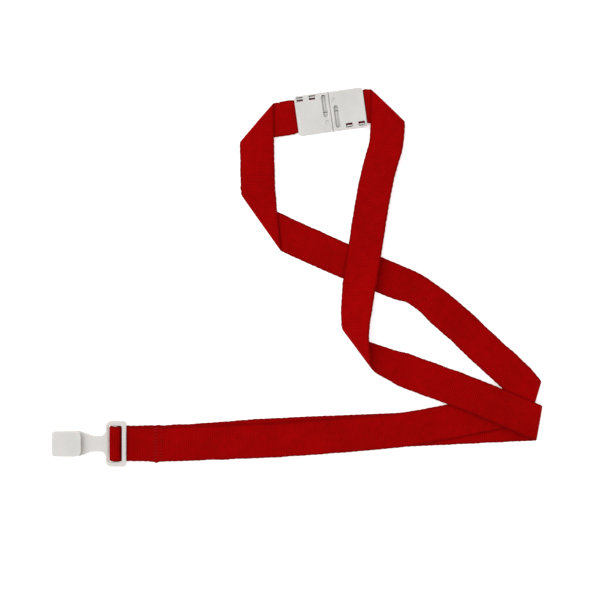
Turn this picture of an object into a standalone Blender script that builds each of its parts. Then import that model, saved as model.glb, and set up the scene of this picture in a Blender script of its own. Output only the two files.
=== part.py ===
"""Neck lanyard: one strip of flat woven webbing, a breakaway buckle and a wide plastic hook.

The lanyard lies flat on a table.  The strip runs from one buckle half, round the hook and back to
the other buckle half.  Both arms turn over at rolled folds.  Metres, +Z up, the table is z = 0.
"""
import math

import bmesh
import bpy
from mathutils import Matrix, Vector

MM = 0.001
UP = Vector((0.0, 0.0, 1.0))

# Clearances
GAP = 0.3 * MM              # between pieces that touch
JOIN_GAP = 0.3 * MM         # between neighbouring stretches of the strip

# Webbing
STRAP_WIDTH = 16.0 * MM
STRAP_THICK = 1.0 * MM
PLY = STRAP_THICK + GAP     # height from one ply to the next
FOLD_RADIUS = PLY / 2       # mid-surface radius of a tight fold
RUN_STEP = 6.0 * MM         # length of one facet along a run
FOLD_STEPS = 8              # facets round a fold
AIM_ROUNDS = 6              # a fold is aimed again until the strip leaves it towards its next point

# Buckle
BUCKLE_CENTRE = Vector((15.8, 76.7, 0.0)) * MM
BUCKLE_TURN = math.radians(7.9)
BUCKLE_LENGTH = 32.0 * MM
BUCKLE_WIDTH = STRAP_WIDTH + 2.4 * MM
BUCKLE_HEIGHT = 5.0 * MM
SHELL_WALL = 1.15 * MM
TOP_WALL = 1.2 * MM
FLOOR_WALL = 1.2 * MM
CROSS_WALL = 0.9 * MM
POCKET_DEPTH = 5.1 * MM
SEAM_GAP = 0.3 * MM
CORNER_CUT = 1.3 * MM
EDGE_ROUND = 0.45 * MM
TONGUE_RIDGE = 0.45 * MM     # room above the tongue, of which the ridge fills all but RIDGE_GAP
RIDGE_GAP = 0.15 * MM
RIDGE_BASE = 1.2 * MM
TIP_CUT = 1.2 * MM
SLOT_LENGTH = 10.4 * MM
SLOT_WIDTH = 2.1 * MM
SLOT_FROM_SEAM = 2.5 * MM
SLOT_OFFSET = 2.8 * MM
DIMPLE_RADIUS = 1.0 * MM
DIMPLE_DEPTH = 0.4 * MM
DIMPLE_FROM_SEAM = 2.1 * MM
DIMPLE_OFFSET = 4.8 * MM
WINDOW_LENGTH = 3.0 * MM
WINDOW_WIDTH = 2.0 * MM
WINDOW_RIM = 0.75 * MM      # wall left outside a window
WINDOW_FROM_END = 2.5 * MM  # outer end of the buckle to the middle of the first window
WINDOW_PITCH = 5.8 * MM
TAB_THICK = 0.6 * MM
TAB_LEAN = 0.15 * MM        # the tab's tip leans in, so that it swings out of its window
TAB_BELOW_TOP = 0.5 * MM
TOOTH_HEIGHT = 0.8 * MM
TOOTH_WIDTH = 1.0 * MM
TOOTH_COUNT = 4
MOUTH_LEAD = 2.0 * MM       # straight strip in front of a half's mouth
MOUTH_DEPTH = 0.7 * MM      # the strip has narrowed this far inside the mouth

# Hook
HOOK_Y = -77.05 * MM
HOOK_END_X = -78.9 * MM     # outer face of the end bar
HOOK_LENGTH = 34.7 * MM
NOSE_X = HOOK_END_X - HOOK_LENGTH
HOOK_THICK = 1.6 * MM
HOOK_HEIGHT = 5.2 * MM
TONGUE_LENGTH = 14.2 * MM
TONGUE_WIDTH = 11.7 * MM
NOSE_CORNER = 2.2 * MM
TIP_CORNER = 2.9 * MM
NECK_WIDTH = 7.4 * MM
NECK_FROM_FRAME = 5.0 * MM
NECK_TAPER = 8.4 * MM
NECK_FILLET = 2.6 * MM
FRAME_LENGTH = 9.4 * MM
FRAME_THICK = 1.8 * MM
FRAME_CORNER = 2.4 * MM
END_CORNER = 1.2 * MM
END_BAR = 1.8 * MM
LEFT_RIM = 1.0 * MM
SIDE_RIM = 2.2 * MM
OPENING_WIDTH = STRAP_WIDTH + 0.8 * MM
OPENING_CORNER = 0.8 * MM
FRAME_WIDTH = OPENING_WIDTH + 2 * SIDE_RIM
CENTRE_BAR = 1.8 * MM
CENTRE_BAR_THICK = 1.2 * MM

# Hook leans on its nose: its end bar lies on the two plies of the strip
HOOK_TILT = math.asin(2 * PLY / (HOOK_LENGTH - END_BAR - HOOK_HEIGHT / 2))
HOOK_JOINT = 1.4 * MM       # from the end bar's outer face to the joint
HOOK_AXIS = Vector((HOOK_END_X + HOOK_JOINT, HOOK_Y, PLY - GAP / 2))

# Seam across both plies, next to the hook
SEAM_ROWS = (-65.2 * MM, -62.4 * MM)
SEAM_HALF = STRAP_WIDTH / 2 - 0.8 * MM
THREAD_WIDTH = 0.5 * MM
THREAD_THICK = 0.3 * MM
SEAM_LIFT = 0.7 * MM        # the seam lifts the strip clear of the table for the lower thread

# Route of the strip: x and y in millimetres, height in plies (0 lies on the table, 1 on one ply), and
# the rise of edge A over the middle in millimetres.  Edge A is the left edge as the strip leaves the hook.
SEAM_RISE = SEAM_LIFT / PLY
START_X = HOOK_AXIS.x / MM
HALF_WIDTH = STRAP_WIDTH / 2 / MM
RIGHT_CORNER_X = (BUCKLE_CENTRE.x + BUCKLE_LENGTH / 2) / MM + HALF_WIDTH + 2.5
LEFT_CORNER_X = (BUCKLE_CENTRE.x - BUCKLE_LENGTH / 2) / MM - HALF_WIDTH - 10.2
LOWER_RUN = [(START_X, -76.85, 0, 0), (-71, -76.75, 0.3 * SEAM_RISE, 0), (-64, -76.7, SEAM_RISE, 0),
             (-56, -76.35, 0.2 * SEAM_RISE, 0), (-45, -75.8, 0, 0), (-13.2, -73.5, 0, 0),
             (42.6, -71.1, 0, 0), (110.1, -67.9, 0, 0)]
LOWER_RETURN = [(97, -61, 3, 0), (84, -55.6, 2.6, 0), (70, -50.3, 2, 0), (60, -46.7, 0.8, -0.2),
                (49.3, -42.8, 0.45, -0.55)]
RIGHT_NECK = [(28.9, -4.2, 2.6, -2.15), (29.5, -1.2, 2.5, -2), (32.4, 17.4, 2.1, -1.6),
              (34.7, 32.3, 1.8, -1.4), (37.6, 47.2, 2, -1.6),
              (RIGHT_CORNER_X - 0.8, 62.1, 2.4, -1.2), (RIGHT_CORNER_X - 0.2, 69, 3.1, -0.4),
              (RIGHT_CORNER_X, 78.2, 2.8, 0)]
UPPER_RUN = [(START_X, -77.3, 1, 0), (-71, -77.4, 1 + 0.3 * SEAM_RISE, 0), (-64, -77.5, 1 + SEAM_RISE, 0),
             (-56, -77.35, 1 + 0.2 * SEAM_RISE, 0), (-45, -76.95, 1, 0), (-13.2, -75.7, 1, 0),
             (9.2, -74.25, 1, 0), (27.8, -72.8, 1, 0), (48.2, -70.8, 1, 0), (62.2, -68.5, 1, 0),
             (97, -61.7, 1, 0), (109.5, -57.8, 1, 0)]
UPPER_RETURN = [(103.5, -48.5, 2, 0), (99.4, -44.4, 1.8, 0), (91, -36.7, 1, 0), (83.6, -29.8, 0.5, 0),
                (76.1, -22.6, 0.3, 0.3), (68.7, -16.3, 1.3, 1.5), (61.2, -9.9, 2.9, 3.6),
                (54.6, -5.4, 2.9, 3.6), (46.4, -2.1, 0.8, 0.9), (40, 0.6, 0, 0), (20.3, 8.6, 0, 0),
                (1.7, 16.9, 0, 0), (-14.5, 24.3, 0, 0)]
LEFT_NECK = [(-17.7, 39.8, 1.3, 0), (-18.1, 52, 1.8, 0), (LEFT_CORNER_X + 0.1, 62.1, 2.1, 0),
             (LEFT_CORNER_X, 70.2, 2.1, 0)]
LEFT_TAIL = [(LEFT_CORNER_X + HALF_WIDTH + 0.6, 72.9, 1.2, 0)]
TAIL_LEVEL = 1.7            # middle of the strip inside the buckle
END_FOLD = 1.5 * PLY        # the lower arm folds round the upper arm

# The loose turn between the lower return and the right neck: the middle of each ruling, the height of
# edge A in plies, and edge A from the middle in half widths
LOOSE_TURN = [(44.35, -40.85, 0.05, 0.119, 0.906, -0.087), (39.55, -39.0, 0.04, -0.131, 0.95, -0.131),
              (34.9, -37.25, 0.04, -0.425, 1.006, -0.181), (31.2, -35.55, 0.12, -0.65, 1.044, -0.238),
              (28.45, -33.15, 0.5, -0.806, 1.081, -0.284), (27.67, -30.75, 0.96, -0.841, 1.056, -0.316),
              (27.3, -27.05, 1.08, -0.825, 0.944, -0.325), (27.05, -22.0, 1.08, -0.806, 0.812, -0.319),
              (27.35, -16.75, 1.0, -0.819, 0.656, -0.312), (28.1, -11.0, 0.96, -0.875, 0.438, -0.284)]
TURN_STEPS = 2              # facets from one of these rulings to the next

# Loop of the strip through the hook: x past the hook's end bar in millimetres, height in plies
LOOP_END = (HOOK_JOINT - JOIN_GAP / 2) / MM
LOOP = [(LOOP_END, 0), (-4.2, 0.04), (-6.4, 0.35), (-7.3, 1.15), (-7.35, 2), (-7.1, 2.85), (-6.4, 3.38),
        (-5.3, 3.5), (-4.1, 3.27), (-3.3, 2.7), (-2.95, 1.85), (-2.5, 1.23), (-1.6, 1), (LOOP_END, 1)]

# The buckle: both halves are the same moulding, turned half a turn about Z
HALF = BUCKLE_LENGTH / 2
SIDE = BUCKLE_WIDTH / 2
INNER_SIDE = SIDE - SHELL_WALL
CEILING = BUCKLE_HEIGHT - TOP_WALL
CHAMBER_END = -(POCKET_DEPTH + CROSS_WALL)
WINDOW_LOW = SIDE - WINDOW_RIM - WINDOW_WIDTH
WINDOW_XS = (-HALF + WINDOW_FROM_END, -HALF + WINDOW_FROM_END + WINDOW_PITCH)
TAB_OUT = SIDE - WINDOW_RIM - GAP
TAB_IN = TAB_OUT - TAB_THICK
TAIL_HALF = TAB_IN - TAB_LEAN - GAP
TONGUE_REACH = POCKET_DEPTH - 1.5 * GAP
TONGUE_LOW = FLOOR_WALL + GAP
TONGUE_TOP = CEILING - TONGUE_RIDGE
COVER_TOP = FLOOR_WALL
HINGE = Vector((0.0, -SIDE, COVER_TOP + GAP / 2))
PAST = 1.0 * MM             # how far a cutter runs past what it cuts


def clear_scene():
    for old in list(bpy.data.objects):
        bpy.data.objects.remove(old)


def make_material(name, colour, roughness):
    material = bpy.data.materials.new(name)
    material.use_nodes = True
    shader = material.node_tree.nodes["Principled BSDF"]
    shader.inputs["Base Color"].default_value = (*colour, 1.0)
    shader.inputs["Roughness"].default_value = roughness
    shader.inputs["Metallic"].default_value = 0.0
    return material


def make_empty(name, location, turn=0.0):
    empty = bpy.data.objects.new(name, None)
    empty.location = location
    empty.rotation_euler = (0.0, 0.0, turn)
    bpy.context.collection.objects.link(empty)
    return empty


def make_object(name, mesh, material, parent=None, matrix=None):
    made = bpy.data.objects.new(name, mesh)
    bpy.context.collection.objects.link(made)
    if material is not None:
        made.data.materials.append(material)
    made.parent = parent
    if matrix is not None:
        made.matrix_basis = matrix
    return made


def mesh_from(bm, name):
    bmesh.ops.recalc_face_normals(bm, faces=bm.faces)
    mesh = bpy.data.meshes.new(name)
    bm.to_mesh(mesh)
    bm.free()
    return mesh


# Outlines and prisms

def arc(centre, radius, start, end, steps):
    """Points on an arc, angles in degrees."""
    angles = [math.radians(start + (end - start) * i / steps) for i in range(steps + 1)]
    return [(centre[0] + radius * math.cos(a), centre[1] + radius * math.sin(a)) for a in angles]


def rounded_rectangle(low, high, left_radius, right_radius, steps=5):
    """Outline of a rectangle from low to high with round corners."""
    (x0, y0), (x1, y1) = low, high
    return (arc((x1 - right_radius, y1 - right_radius), right_radius, 0, 90, steps)
            + arc((x0 + left_radius, y1 - left_radius), left_radius, 90, 180, steps)
            + arc((x0 + left_radius, y0 + left_radius), left_radius, 180, 270, steps)
            + arc((x1 - right_radius, y0 + right_radius), right_radius, 270, 360, steps))


def prism(outline, low, high, along="z"):
    """An outline extruded from low to high, along Z or along Y (the outline is then x and z)."""
    bm = bmesh.new()
    place = (lambda u, v, w: (u, v, w)) if along == "z" else (lambda u, v, w: (u, w, v))
    ends = [[bm.verts.new(place(u, v, w)) for u, v in outline] for w in (low, high)]
    count = len(outline)
    for i in range(count):
        j = (i + 1) % count
        bm.faces.new((ends[0][i], ends[0][j], ends[1][j], ends[1][i]))
    bm.faces.new(ends[0])
    bm.faces.new(ends[1])
    return bm


def box(low, high):
    outline = [(low[0], low[1]), (high[0], low[1]), (high[0], high[1]), (low[0], high[1])]
    return prism(outline, low[2], high[2])


def combine(target, bm, operation):
    """Add, cut or intersect a hidden tool with the target."""
    name = f"{target.name}_{operation.lower()}_{len(target.modifiers)}"
    tool = make_object(name, mesh_from(bm, "tool"), None,
                       target.parent, target.matrix_basis)
    tool.hide_render = True
    tool.hide_set(True)
    tool.display_type = "WIRE"
    modifier = target.modifiers.new(operation.title(), "BOOLEAN")
    modifier.operation = operation
    modifier.solver = "EXACT"
    modifier.object = tool


# The strip: a row of straight rulings from edge A to edge B

def cross(a, b):
    return a.x * b.y - a.y * b.x


def ease(t):
    return t * t * (3 - 2 * t)


def ruling(centre, direction, side, shear, lift, half):
    """The two ends of a ruling.  It leans by shear times the strip's half width along the strip."""
    flat = math.sqrt(half * half - lift * lift)
    across = Vector((-direction.y, direction.x, 0.0)) * side + direction * shear
    reach = across * flat + UP * lift
    return centre + reach, centre - reach


def flat_way(start, end):
    return Vector((end[0] - start[0], end[1] - start[1], 0.0)).normalized()


def place_of(point):
    """Where a point of the route is: millimetres across the table, plies above it."""
    return Vector((point[0] * MM, point[1] * MM, STRAP_THICK / 2 + point[2] * PLY))


def run_stations(points, first_way, last_way, side, shears, trims, halves=None):
    """Rulings along a smooth curve through the points, which starts and ends in the given directions."""
    places = [place_of(p) for p in points]
    lifts = [p[3] * MM for p in points]
    halves = halves or [STRAP_WIDTH / 2] * len(points)
    ways = [first_way]
    for before, after in zip(places, places[2:]):
        ways.append((after - before).to_2d().to_3d().normalized())
    ways.append(last_way)
    samples = []
    for i in range(len(places) - 1):
        start, end = places[i], places[i + 1]
        length = (end - start).to_2d().length
        steps = max(2, math.ceil(length / RUN_STEP))
        for k in range(steps + (i == len(places) - 2)):
            t = k / steps
            a, b = ways[i] * length, ways[i + 1] * length
            spot = (start * (2 * t ** 3 - 3 * t ** 2 + 1) + a * (t ** 3 - 2 * t ** 2 + t)
                    + end * (3 * t ** 2 - 2 * t ** 3) + b * (t ** 3 - t ** 2))
            spot.z = start.z + (end.z - start.z) * ease(t)
            way = (start * (6 * t ** 2 - 6 * t) + a * (3 * t ** 2 - 4 * t + 1)
                   + end * (6 * t - 6 * t ** 2) + b * (3 * t ** 2 - 2 * t))
            way = Vector((way.x, way.y, 0.0)).normalized()
            lift = lifts[i] + (lifts[i + 1] - lifts[i]) * ease(t)
            half = halves[i] + (halves[i + 1] - halves[i]) * t
            samples.append((spot, way, lift, half))
    distance = [0.0]
    for one, two in zip(samples, samples[1:]):
        distance.append(distance[-1] + (two[0] - one[0]).to_2d().length)
    total = distance[-1]
    blends = [max(1.25 * STRAP_WIDTH / 2 * abs(c), MM) for c in shears]
    stations = []
    for (spot, way, lift, half), s in zip(samples, distance):
        inside = trims[0] < s < total - trims[1]
        if s == 0.0:
            spot = spot + way * trims[0]
        elif s == total:
            spot = spot - way * trims[1]
        elif not inside:
            continue
        shear = (shears[0] * max(0.0, 1 - s / blends[0]) + shears[1] * max(0.0, 1 - (total - s) / blends[1]))
        stations.append(ruling(spot, way, side, shear, lift, half))
    return stations


def fold_stations(centre, way, next_way, side, radius_a, radius_b, up):
    """Rulings parallel to the crease, rolled half a turn about it."""
    crease = (way + next_way).normalized()
    out = (way - next_way).normalized()
    shear = side * way.dot(crease) / cross(way, crease)
    slide = way.dot(crease) / way.dot(out)
    a, b = ruling(centre, way, side, shear, 0.0, STRAP_WIDTH / 2)
    middle = (radius_a + radius_b) / 2
    stations = []
    for k in range(FOLD_STEPS + 1):
        angle = math.pi * k / FOLD_STEPS
        drift = crease * (middle * angle * slide)
        ends = []
        for end, radius in ((a, radius_a), (b, radius_b)):
            rise = UP * (up * radius * (1 - math.cos(angle)))
            ends.append(end + drift + out * (radius * math.sin(angle)) + rise)
        stations.append(tuple(ends))
    return stations, shear


def strip_solid(stations, thickness):
    """A closed solid of even thickness on a row of rulings."""
    bm = bmesh.new()
    rings = []
    last = len(stations) - 1
    for i, (a, b) in enumerate(stations):
        before, after = stations[max(i - 1, 0)], stations[min(i + 1, last)]
        along = (after[0] + after[1] - before[0] - before[1]).normalized()
        normal = (a - b).cross(along).normalized() * thickness / 2
        rings.append([bm.verts.new(p) for p in (a + normal, b + normal, b - normal, a - normal)])
    for ring, following in zip(rings, rings[1:]):
        for k in range(4):
            j = (k + 1) % 4
            bm.faces.new((ring[k], ring[j], following[j], following[k]))
    bm.faces.new(rings[0])
    bm.faces.new(rings[-1])
    return bm


def heading(degrees):
    return Vector((math.cos(math.radians(degrees)), math.sin(math.radians(degrees)), 0.0))


def turn_stations(first, rulings, last):
    """Rulings of a loose turn, smooth from the first ruling through those given to the last."""
    keys = [first]
    for ruled in rulings:
        reach = Vector(ruled[3:]) * (STRAP_WIDTH / 2)
        middle = place_of(ruled) - UP * reach.z
        keys.append((middle + reach, middle - reach))
    keys.append(last)
    stations = []
    for i in range(len(keys) - 1):
        for k in range(TURN_STEPS + (i == len(keys) - 2)):
            t = k / TURN_STEPS
            ends = []
            for edge in (0, 1):
                start, end = keys[i][edge], keys[i + 1][edge]
                before = keys[i - 1][edge] if i else start * 2 - end
                after = keys[i + 2][edge] if i + 2 < len(keys) else end * 2 - start
                ends.append(start * (2 * t ** 3 - 3 * t ** 2 + 1)
                            + (end - before) / 2 * (t ** 3 - 2 * t ** 2 + t)
                            + end * (3 * t ** 2 - 2 * t ** 3) + (after - start) / 2 * (t ** 3 - t ** 2))
            stations.append(tuple(ends))
    return stations


def make_arm(runs, folds, names, material):
    """One arm of the strip: runs joined by folds.  Each stretch is an object of its own.

    A run is its points and, where it narrows, its half widths.  A fold is the radii at edge A and at
    edge B and the way it rolls, 1 up or -1 down, or else the rulings of a loose turn.
    """
    side = 1
    points = list(runs[0][0])
    way = flat_way(points[0], points[1])
    start_shear, start_trim = 0.0, JOIN_GAP / 2
    for i, (_, halves) in enumerate(runs):
        last_way = flat_way(points[-2], points[-1])
        end_shear, end_trim = 0.0, 0.0
        folded = i < len(folds)
        loose = folded and isinstance(folds[i], list)
        if loose:
            following = runs[i + 1][0]
            next_way = flat_way(following[0], following[1])
            half = STRAP_WIDTH / 2
            first = ruling(place_of(points[-1]), last_way, side, 0.0, points[-1][3] * MM, half)
            last = ruling(place_of(following[0]), next_way, -side, 0.0, following[0][3] * MM, half)
            rolled = turn_stations(first, folds[i], last)
            end_trim = JOIN_GAP
        elif folded:
            corner = place_of(points[-1])
            leave = points[-1]
            for _ in range(AIM_ROUNDS):
                next_way = flat_way(leave, runs[i + 1][0][0])
                rolled, end_shear = fold_stations(corner, last_way, next_way, side, *folds[i])
                middle = (rolled[-1][0] + rolled[-1][1]) / 2
                leave = (middle.x / MM, middle.y / MM, (middle.z - STRAP_THICK / 2) / PLY)
            end_trim = JOIN_GAP * math.sqrt(1 + end_shear ** 2)
        run = run_stations(points, way, last_way, side, (start_shear, end_shear),
                           (start_trim, end_trim), halves)
        make_object(names[2 * i], mesh_from(strip_solid(run, STRAP_THICK), names[2 * i]), material)
        if folded:
            name = names[2 * i + 1]
            make_object(name, mesh_from(strip_solid(rolled, STRAP_THICK), name), material)
            points = list(runs[i + 1][0])
            if not loose:
                a, b = rolled[-1]
                points = [(*leave, (a.z - b.z) / 2 / MM)] + points
            side, way, start_shear, start_trim = -side, next_way, end_shear, end_trim


def tail_points(sign):
    """The strip's end, from just outside the mouth of a buckle half to its inner end."""
    stops = (HALF + MOUTH_LEAD, HALF + 2 * GAP, HALF - MOUTH_DEPTH, -CHAMBER_END + 2 * GAP)
    found = []
    for stop in stops:
        spot = BUCKLE_CENTRE + heading(math.degrees(BUCKLE_TURN)) * stop * sign
        found.append((spot.x / MM, spot.y / MM, TAIL_LEVEL, 0))
    return found


def make_hook_loop(material):
    """The strip's turn round the hook's centre bar, seen from the side in LOOP."""
    places = []
    for x, level in LOOP:
        places.append(Vector((HOOK_END_X + x * MM, HOOK_Y, STRAP_THICK / 2 + level * PLY)))
    stations = []
    edge = Vector((0.0, STRAP_WIDTH / 2, 0.0))
    for i in range(len(places) - 1):
        before = places[i - 1] if i else places[i] * 2 - places[i + 1]
        after = places[i + 2] if i + 2 < len(places) else places[i + 1] * 2 - places[i]
        a, b = (places[i + 1] - before) / 2, (after - places[i]) / 2
        steps = 2
        for k in range(steps + (i == len(places) - 2)):
            t = k / steps
            spot = (places[i] * (2 * t ** 3 - 3 * t ** 2 + 1) + a * (t ** 3 - 2 * t ** 2 + t)
                    + places[i + 1] * (3 * t ** 2 - 2 * t ** 3) + b * (t ** 3 - t ** 2))
            stations.append((spot + edge, spot - edge))
    make_object("strap_hook_loop", mesh_from(strip_solid(stations, STRAP_THICK), "strap_hook_loop"), material)


# The buckle

def body_outline():
    """A half seen from above, outer end at -X: cut corners outside, square at the seam."""
    seam = -SEAM_GAP / 2
    x, y = -HALF + CORNER_CUT, SIDE - CORNER_CUT
    return ([(seam, -SIDE), (seam, SIDE)] + arc((x, y), CORNER_CUT, 90, 180, 3)
            + arc((x, -y), CORNER_CUT, 180, 270, 3))


def half_block(low, high):
    """The half's outline as a block, its upper and outer edges rounded."""
    bm = prism(body_outline(), low, high)
    bm.normal_update()
    rim = [e for e in bm.edges if all(abs(v.co.z - high) < 1e-6 for v in e.verts)]
    if high >= BUCKLE_HEIGHT:
        bmesh.ops.bevel(bm, geom=rim, offset=EDGE_ROUND, segments=3, profile=0.5, affect="EDGES")
    return bm


def slot_outline():
    radius = SLOT_WIDTH / 2
    reach = SLOT_LENGTH / 2 - radius
    x = -SLOT_FROM_SEAM
    return (arc((x, SLOT_OFFSET + reach), radius, 0, 180, 8)
            + arc((x, SLOT_OFFSET - reach), radius, 180, 360, 8))


def tongue_solid():
    """The catch: a flat tongue that ends in the other half's pocket, with a low ridge across it."""
    side_low, side_high = -INNER_SIDE + GAP, -GAP / 2
    root = CHAMBER_END + CROSS_WALL / 2
    outline = [(root, side_low), (TONGUE_REACH - TIP_CUT, side_low), (TONGUE_REACH, side_low + TIP_CUT),
               (TONGUE_REACH, side_high - TIP_CUT), (TONGUE_REACH - TIP_CUT, side_high), (root, side_high)]
    return prism(outline, TONGUE_LOW, TONGUE_TOP)


def make_housing(name, parent, turn, material):
    matrix = Matrix.Rotation(turn, 4, "Z")
    housing = make_object(name, mesh_from(half_block(0.0, BUCKLE_HEIGHT), name), material, parent, matrix)
    chamber = box((-HALF - PAST, -INNER_SIDE, -PAST), (CHAMBER_END, INNER_SIDE, CEILING))
    combine(housing, chamber, "DIFFERENCE")
    hinge_side = box((-HALF - PAST, -SIDE - PAST, -PAST), (CHAMBER_END, -INNER_SIDE + PAST, COVER_TOP + GAP))
    combine(housing, hinge_side, "DIFFERENCE")
    pocket = box((-POCKET_DEPTH, -INNER_SIDE, FLOOR_WALL), (PAST, INNER_SIDE, CEILING))
    combine(housing, pocket, "DIFFERENCE")
    for x in WINDOW_XS:
        window = box((x - WINDOW_LENGTH / 2, WINDOW_LOW, -PAST),
                     (x + WINDOW_LENGTH / 2, WINDOW_LOW + WINDOW_WIDTH, BUCKLE_HEIGHT + PAST))
        combine(housing, window, "DIFFERENCE")
    combine(housing, prism(slot_outline(), CEILING - PAST, BUCKLE_HEIGHT + PAST), "DIFFERENCE")
    dimple = arc((-DIMPLE_FROM_SEAM, -DIMPLE_OFFSET), DIMPLE_RADIUS, 0, 345, 23)
    combine(housing, prism(dimple, BUCKLE_HEIGHT - DIMPLE_DEPTH, BUCKLE_HEIGHT + PAST), "DIFFERENCE")
    combine(housing, tongue_solid(), "UNION")
    x, low, high = SLOT_FROM_SEAM, TONGUE_TOP - RIDGE_GAP, CEILING - RIDGE_GAP
    ridge = [(x - RIDGE_BASE / 2, low), (x + RIDGE_BASE / 2, low), (x + RIDGE_BASE / 4, high),
             (x - RIDGE_BASE / 4, high)]
    combine(housing, prism(ridge, -INNER_SIDE + 3 * GAP, -3 * GAP, "y"), "UNION")
    return housing


def make_cover(name, parent, turn, material):
    """The clamp cover under a half's chamber, with teeth below the strip and two snap tabs."""
    pivot = make_empty(f"{name}_hinge", Matrix.Rotation(turn, 4, "Z") @ HINGE, turn)
    pivot.parent = parent
    edge = INNER_SIDE - GAP
    cover = make_object(name, mesh_from(half_block(0.0, COVER_TOP), name), material, pivot,
                        Matrix.Translation(-HINGE))
    inner = box((CHAMBER_END - GAP, -SIDE - PAST, -PAST), (PAST, SIDE + PAST, BUCKLE_HEIGHT))
    combine(cover, inner, "DIFFERENCE")
    combine(cover, box((-HALF - PAST, edge, -PAST), (PAST, SIDE + PAST, BUCKLE_HEIGHT)), "DIFFERENCE")
    reach = WINDOW_LENGTH / 2 - GAP
    top = BUCKLE_HEIGHT - TAB_BELOW_TOP
    for x in WINDOW_XS:
        tab = bmesh.new()
        rings = []
        for end in (x - reach, x + reach):
            profile = [(TAB_IN, COVER_TOP / 4), (TAB_OUT, COVER_TOP / 4), (TAB_OUT, COVER_TOP),
                       (TAB_OUT - TAB_LEAN, top), (TAB_IN - TAB_LEAN, top), (TAB_IN, COVER_TOP)]
            rings.append([tab.verts.new((end, y, z)) for y, z in profile])
        for i in range(len(profile)):
            j = (i + 1) % len(profile)
            tab.faces.new((rings[0][i], rings[0][j], rings[1][j], rings[1][i]))
        tab.faces.new(rings[0])
        tab.faces.new(rings[1])
        combine(cover, tab, "UNION")
    pitch = (HALF + CHAMBER_END) / TOOTH_COUNT
    for i in range(TOOTH_COUNT):
        x = -HALF + pitch * (i + 0.6)
        tooth = [(x - TOOTH_WIDTH / 2, COVER_TOP / 2), (x + TOOTH_WIDTH / 2, COVER_TOP / 2),
                 (x + TOOTH_WIDTH / 2, COVER_TOP), (x, COVER_TOP + TOOTH_HEIGHT),
                 (x - TOOTH_WIDTH / 2, COVER_TOP)]
        combine(cover, prism(tooth, -INNER_SIDE + 4 * GAP, TAB_IN - 2 * GAP, "y"), "UNION")
    return cover


# The hook: x from the end bar's outer face, nose at -HOOK_LENGTH, underside at z = 0

def hook_plan():
    """Back plate and neck, from inside the nose to inside the frame."""
    half, neck = TONGUE_WIDTH / 2, NECK_WIDTH / 2
    start = -HOOK_LENGTH + HOOK_HEIGHT / 2 + PAST
    neck_x = -FRAME_LENGTH - NECK_FROM_FRAME
    upper = [(start, half)]
    for i in range(9):
        t = i / 8
        upper.append((neck_x - NECK_TAPER * (1 - t), half + (neck - half) * ease(t)))
    flare = (-FRAME_LENGTH - NECK_FILLET, neck + NECK_FILLET)
    upper += arc(flare, NECK_FILLET, -90, 0, 5)
    upper.append((-FRAME_LENGTH + LEFT_RIM / 2, neck + NECK_FILLET))
    return upper + [(x, -y) for x, y in reversed(upper)]


def make_hook(parent, material):
    nose = HOOK_HEIGHT / 2
    world = (Matrix.Translation((NOSE_X + nose, HOOK_Y, nose)) @ Matrix.Rotation(-HOOK_TILT, 4, "Y")
             @ Matrix.Translation((HOOK_LENGTH - nose, 0.0, -nose)))
    local = Matrix.Translation(-HOOK_AXIS) @ world
    half = TONGUE_WIDTH / 2
    tip = -HOOK_LENGTH + TONGUE_LENGTH
    block = prism(rounded_rectangle((-HOOK_LENGTH, -half), (tip, half), NOSE_CORNER, TIP_CORNER),
                  0.0, HOOK_HEIGHT)
    hook = make_object("hook", mesh_from(block, "hook"), material, parent, local)
    bend = (-HOOK_LENGTH + HOOK_HEIGHT / 2, HOOK_HEIGHT / 2)
    side = arc(bend, HOOK_HEIGHT / 2, 90, 270, 14) + [(tip + PAST, 0.0), (tip + PAST, HOOK_HEIGHT)]
    combine(hook, prism(side, -half - PAST, half + PAST, "y"), "INTERSECT")
    inside = HOOK_HEIGHT / 2 - HOOK_THICK
    throat = arc(bend, inside, 90, 270, 10) + [(tip + PAST, bend[1] - inside), (tip + PAST, bend[1] + inside)]
    combine(hook, prism(throat, -half - PAST, half + PAST, "y"), "DIFFERENCE")
    combine(hook, prism(hook_plan(), 0.0, HOOK_THICK), "UNION")
    outer = rounded_rectangle((-FRAME_LENGTH, -FRAME_WIDTH / 2), (0.0, FRAME_WIDTH / 2), FRAME_CORNER,
                              END_CORNER)
    combine(hook, prism(outer, 0.0, FRAME_THICK), "UNION")
    hole = rounded_rectangle((-FRAME_LENGTH + LEFT_RIM, -OPENING_WIDTH / 2), (-END_BAR, OPENING_WIDTH / 2),
                             OPENING_CORNER, OPENING_CORNER)
    combine(hook, prism(hole, -PAST, FRAME_THICK + PAST), "DIFFERENCE")
    middle = (-FRAME_LENGTH + LEFT_RIM - END_BAR) / 2
    low = (FRAME_THICK - CENTRE_BAR_THICK) / 2
    chamfer = CENTRE_BAR_THICK / 4
    bar = [(middle - CENTRE_BAR / 2, low + chamfer), (middle - CENTRE_BAR / 2 + chamfer, low),
           (middle + CENTRE_BAR / 2 - chamfer, low), (middle + CENTRE_BAR / 2, low + chamfer),
           (middle + CENTRE_BAR / 2, low + CENTRE_BAR_THICK - chamfer),
           (middle + CENTRE_BAR / 2 - chamfer, low + CENTRE_BAR_THICK),
           (middle - CENTRE_BAR / 2 + chamfer, low + CENTRE_BAR_THICK),
           (middle - CENTRE_BAR / 2, low + CENTRE_BAR_THICK - chamfer)]
    reach = (OPENING_WIDTH + FRAME_WIDTH) / 4
    combine(hook, prism(bar, -reach, reach, "y"), "UNION")
    return hook


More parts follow.
